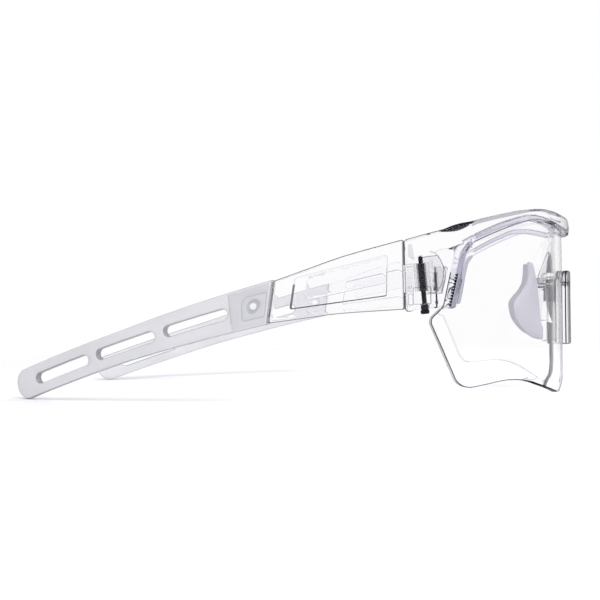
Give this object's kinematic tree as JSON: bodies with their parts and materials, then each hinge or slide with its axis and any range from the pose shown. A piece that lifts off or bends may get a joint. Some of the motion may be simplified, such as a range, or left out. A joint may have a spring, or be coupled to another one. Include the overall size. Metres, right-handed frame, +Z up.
{
  "type": "wraparound cycling glasses",
  "caption": "Wraparound sports eyewear: one-piece clear shield lens in a clear half-rim frame, soft nose pads and folding temples with slotted grips.",
  "frame": {"origin": "centre of the footprint, on the plane on which the glasses stand", "axes": "+X towards the wearer's left, -Y forwards through the lens, +Z up"},
  "size_m": [0.126, 0.1818, 0.0569],
  "materials": {
    "clear_frame": "clear moulded nylon, polished",
    "clear_lens": "clear polycarbonate, hard coated",
    "frosted_rubber": "frosted translucent soft rubber",
    "soft_pad": "soft matt silicone",
    "dark_steel": "dark blackened steel"
  },
  "bodies": {
    "front": {"front_frame": "clear_frame", "shield_lens": "clear_lens", "nose_clip": "clear_frame", "nose_carrier": "clear_frame", "nose_pad_left": "soft_pad", "nose_pad_right": "soft_pad", "hinge_screw_left": "dark_steel", "hinge_screw_right": "dark_steel", "hinge_washer_left": "dark_steel", "hinge_washer_right": "dark_steel"},
    "temple_left": {"temple_arm_left": "clear_frame", "arm_inlay_left": "clear_frame", "ear_sock_left": "frosted_rubber", "sock_pin_left": "clear_frame", "hinge_sleeve_left": "dark_steel"},
    "temple_right": {"temple_arm_right": "clear_frame", "arm_inlay_right": "clear_frame", "ear_sock_right": "frosted_rubber", "sock_pin_right": "clear_frame", "hinge_sleeve_right": "dark_steel"}
  },
  "joints": [
    {"name": "temple_hinge_left", "type": "hinge", "parent": "front", "child": "temple_left", "pos_m": [0.05937, -0.04462, 0.0371], "axis": [0, 0.0698, 0.9976], "range_deg": [0, 81]},
    {"name": "temple_hinge_right", "type": "hinge", "parent": "front", "child": "temple_right", "pos_m": [-0.05937, -0.04462, 0.0371], "axis": [0, -0.0698, -0.9976], "range_deg": [0, 69]}
  ]
}
